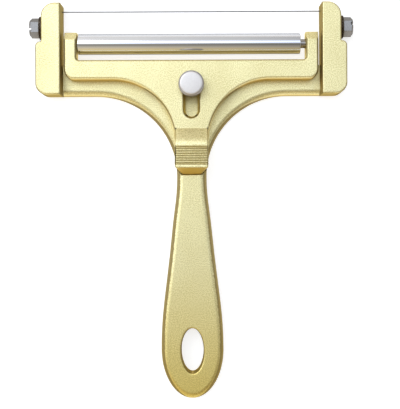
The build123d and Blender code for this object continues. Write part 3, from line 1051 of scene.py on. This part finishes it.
@dataclass
class WireGrip:
    """The wire with its ferrules, and the two slotted screws and lock washers that grip them."""

    wire_radius: float = 0.25 * MM
    bend_radius: float = 1.2 * MM
    ferrule_bore: float = 0.3 * MM
    ferrule_facets: int = 32
    screw_edge: float = 0.3 * MM
    ring_edge: float = 0.15 * MM
    washer_bore: float = 2.1 * MM
    washer_facets: int = 48
    toothed_ring_share: float = 0.94
    ring_length_share: float = 0.86
    tooth_count: int = 22
    tooth_size: Place = (0.7 * MM, 1.0 * MM, 0.9 * MM)
    tooth_setback: float = 0.7 * MM

    def lock_washer(self, side: Side, shop: Workshop) -> None:
        """Make one lock washer: a plain ring on the post's seat, and a toothed one under the head.

        Args:
            side: The end of the wire that it is on.
            shop: The workshop.
        """
        node = side.word + "_lock_washer"
        low, high, middle = box_of(node)
        radius = (high.y - low.y) / 2
        half = (high.x - low.x) / 2
        inner_x = middle.x - side.value * half / 2
        outer_x = middle.x + side.value * half / 2
        for name, x, reach in (("_plain_ring", inner_x, radius),
                               ("_toothed_ring", outer_x, radius * self.toothed_ring_share)):
            ring = shop.rings.make(
                side.word + name, shop.materials[Slot.LOCK_WASHER], Bore_Radius=self.washer_bore,
                Outer_Radius=reach, Length=half * self.ring_length_share, Edge_Radius=self.ring_edge,
                Centre=(x, middle.y, middle.z), Turn=ALONG_X, Facets=self.washer_facets)
            shop.finish(ring, Slot.LOCK_WASHER, Body.FRAME, node)
        rim = shop.teeth.make(side.word + "_washer_teeth", shop.materials[Slot.LOCK_WASHER],
                              Radius=radius - self.tooth_setback, Tooth_Size=self.tooth_size,
                              Count=self.tooth_count, Centre=(outer_x, middle.y, middle.z))
        shop.finish(rim, Slot.LOCK_WASHER, Body.FRAME, node)

    def build(self, shop: Workshop) -> None:
        """Make the wire, the ferrules, the washers and the screws.

        Args:
            shop: The workshop.
        """
        low, high, middle = box_of("cutting_wire")
        wire = shop.wires.make(
            "taut_wire", shop.materials[Slot.WIRE], Half_Span=high.x - self.wire_radius,
            Wire_Y=high.y - self.wire_radius, End_Y=low.y, Height=middle.z,
            Bend_Radius=self.bend_radius, Wire_Radius=self.wire_radius)
        shop.finish(wire, Slot.WIRE, Body.FRAME, "cutting_wire")
        for side in Side:
            node = side.word + "_wire_ferrule"
            low, high, middle = box_of(node)
            ferrule = shop.rings.make(
                side.word + "_ferrule", shop.materials[Slot.SCREW], Bore_Radius=self.ferrule_bore,
                Outer_Radius=(high.x - low.x) / 2, Length=high.y - low.y, Edge_Radius=self.ring_edge,
                Centre=middle, Turn=ALONG_Y, Facets=self.ferrule_facets)
            shop.finish(ferrule, Slot.SCREW, Body.FRAME, node)
            node = side.word + "_tension_screw"
            screw = rounded_copy(shop.frame, node, side.word + "_hexagon_screw", self.screw_edge)
            shop.finish(screw, Slot.SCREW, Body.FRAME, node)
            self.lock_washer(side, shop)


# Studio


@dataclass
class Studio:
    """Floor, wall, sky, lamp and the camera that looks straight down.

    The sky gives a colour for each angle from straight up, in degrees towards +Y. Straight up lies in
    the middle of its colour ramp. The left gain makes it brighter to the left than to the right.
    """

    view_height: float = 196.3 * MM
    camera_height: float = 493 * MM
    camera_x: float = 3.9 * MM
    camera_y: float = -1.7 * MM
    camera_roll: float = math.radians(-0.25)
    sensor: float = 36.0
    front_height: float = 13.5 * MM
    floor_reach: float = 12.0
    wall_reach: float = 11.0
    wall_height: float = 2.4
    wall_sides: int = 64
    floor_grey: float = 0.55
    floor_roughness: float = 0.7
    floor_glow: float = 0.72
    sky_strength: float = 3.2
    sky: tuple[tuple[float, Colour], ...] = (
        (-90.0, (0.18, 0.13, 0.06)),
        (-77.0, (0.25, 0.20, 0.09)),
        (-60.0, (0.23, 0.195, 0.12)),
        (-42.0, (0.19, 0.17, 0.13)),
        (-28.0, (0.14, 0.132, 0.112)),
        (-17.0, (0.085, 0.079, 0.064)),
        (-3.0, (0.145, 0.142, 0.135)),
        (4.0, (0.42, 0.46, 0.53)),
        (9.0, (0.57, 0.65, 0.79)),
        (22.0, (0.57, 0.65, 0.79)),
        (29.0, (0.34, 0.35, 0.37)),
        (40.0, (0.27, 0.27, 0.27)),
        (90.0, (0.26, 0.26, 0.26)))
    straight_up: float = 0.5
    full_turn: float = 360.0
    left_gain: float = 1.4
    right_gain: float = 0.6
    gain_reach: float = 0.45
    lamp_place: Place = (-0.34, 0.36, 0.62)
    lamp_aim: Place = (-0.05, 0.05, 0.0)
    lamp_size: tuple[float, float] = (0.42, 0.3)
    lamp_power: float = 0.5
    lamp_colour: Colour = (0.90, 0.96, 1.0)

    def room(self) -> None:
        """Lay the pale floor, which keeps the slicer's shadow, and stand a low pale wall round it."""
        white = self.white()
        form = bmesh.new()
        bmesh.ops.create_grid(form, x_segments=1, y_segments=1, size=self.floor_reach)
        self.staged("studio_floor", form, white)
        form = bmesh.new()
        bmesh.ops.create_cone(form, segments=self.wall_sides, radius1=self.wall_reach,
                              radius2=self.wall_reach, depth=self.wall_height)
        bmesh.ops.translate(form, verts=form.verts, vec=(0.0, 0.0, self.wall_height / 2))
        self.staged("studio_wall", form, white)

    def staged(self, name: str, form: bmesh.types.BMesh, material: Material) -> None:
        """Turn a form into a piece of the stage.

        Args:
            name: The object's name.
            form: Its geometry, which is freed.
            material: Its material.
        """
        mesh = bpy.data.meshes.new(name)
        form.to_mesh(mesh)
        form.free()
        mesh.materials.append(material)
        shown(name, mesh)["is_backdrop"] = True

    def white(self) -> Material:
        """Build the stage's white, which glows a little so that it reads as white.

        Returns:
            The material.
        """
        made = bpy.data.materials.new("studio_white")
        made.use_nodes = True
        tree = made.node_tree
        shader = tree.nodes["Principled BSDF"]
        shader.inputs["Base Color"].default_value = (self.floor_grey, self.floor_grey, self.floor_grey, 1.0)
        shader.inputs["Roughness"].default_value = self.floor_roughness
        glow = linked(tree, "ShaderNodeEmission", Strength=self.floor_glow)
        ray = tree.nodes.new("ShaderNodeLightPath").outputs
        to_eye = calculated(tree, "MAXIMUM", ray["Is Camera Ray"], ray["Is Transmission Ray"])
        seen = calculated(tree, "MAXIMUM", to_eye, ray["Is Glossy Ray"])
        blend = linked(tree, "ShaderNodeMixShader", Fac=seen, in_1=shader.outputs["BSDF"])
        both = linked(tree, "ShaderNodeAddShader", in_0=shader.outputs["BSDF"], in_1=glow.outputs["Emission"])
        tree.links.new(both.outputs["Shader"], blend.inputs[2])
        tree.links.new(blend.outputs["Shader"], tree.nodes["Material Output"].inputs["Surface"])
        return made

    def sky_room(self) -> None:
        """Set the sky: a warm grey room with one long cool strip along X, just beyond straight up."""
        world = bpy.data.worlds.new("studio_sky")
        bpy.context.scene.world = world
        world.use_nodes = True
        tree = world.node_tree
        way = linked(tree, "ShaderNodeSeparateXYZ",
                     Vector=tree.nodes.new("ShaderNodeTexCoord").outputs["Generated"]).outputs
        from_zenith = calculated(tree, "ARCTAN2", way["Y"], way["Z"])
        ramp = linked(tree, "ShaderNodeValToRGB", Fac=ranged(tree, from_zenith, -math.pi, math.pi))
        gain = ranged(tree, way["X"], -self.gain_reach, self.gain_reach, self.left_gain, self.right_gain)
        steps = ramp.color_ramp.elements
        while len(steps) < len(self.sky):
            steps.new(self.straight_up)
        for step, (place, colour) in zip(steps, self.sky):
            step.position = self.straight_up + place / self.full_turn
            step.color = (*colour, 1.0)
        room = tree.nodes["Background"]
        tree.links.new(ramp.outputs["Color"], room.inputs["Color"])
        tree.links.new(product(tree, gain, self.sky_strength), room.inputs["Strength"])

    def lamp(self) -> None:
        """Hang the one lamp: a wide cool panel overhead to the left."""
        data = bpy.data.lights.new("overhead_left", "AREA")
        data.shape = "RECTANGLE"
        data.size, data.size_y = self.lamp_size
        data.energy = self.lamp_power
        data.color = self.lamp_colour
        lamp = shown("overhead_left", data)
        lamp.location = self.lamp_place
        facing = Vector(self.lamp_aim) - Vector(self.lamp_place)
        lamp.rotation_euler = facing.to_track_quat("-Z", "Y").to_euler()

    def camera(self) -> None:
        """Set the camera at the photograph's view, straight above the slicer."""
        data = bpy.data.cameras.new("product_camera")
        data.sensor_fit = "VERTICAL"
        data.sensor_height = self.sensor
        data.lens = self.sensor * (self.camera_height - self.front_height) / self.view_height
        camera = shown("product_camera", data)
        camera.location = (self.camera_x, self.camera_y, self.camera_height)
        camera.rotation_euler = (0.0, 0.0, self.camera_roll)
        bpy.context.scene.camera = camera

    def build(self) -> None:
        """Set up the whole studio."""
        bpy.context.scene.view_settings.view_transform = "Standard"
        self.room()
        self.sky_room()
        self.lamp()
        self.camera()
        log.info("studio: floor, wall, sky, lamp and camera")


def main() -> list[list[float]]:
    """Build every sub-assembly around the loaded frame.

    Returns:
        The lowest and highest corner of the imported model's box.
    """
    logging.basicConfig(level=logging.INFO, format="%(name)s: %(message)s")
    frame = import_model()
    packed_box = [list(corner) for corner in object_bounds()]
    shop = Workshop.open(frame)
    for assembly in (FrameCasting(), Carriage(), Roller(), ClampKnob(), WireGrip()):
        assembly.build(shop)
    Studio().build()
    return packed_box


if __name__ == "__main__":
    cad_box = main()
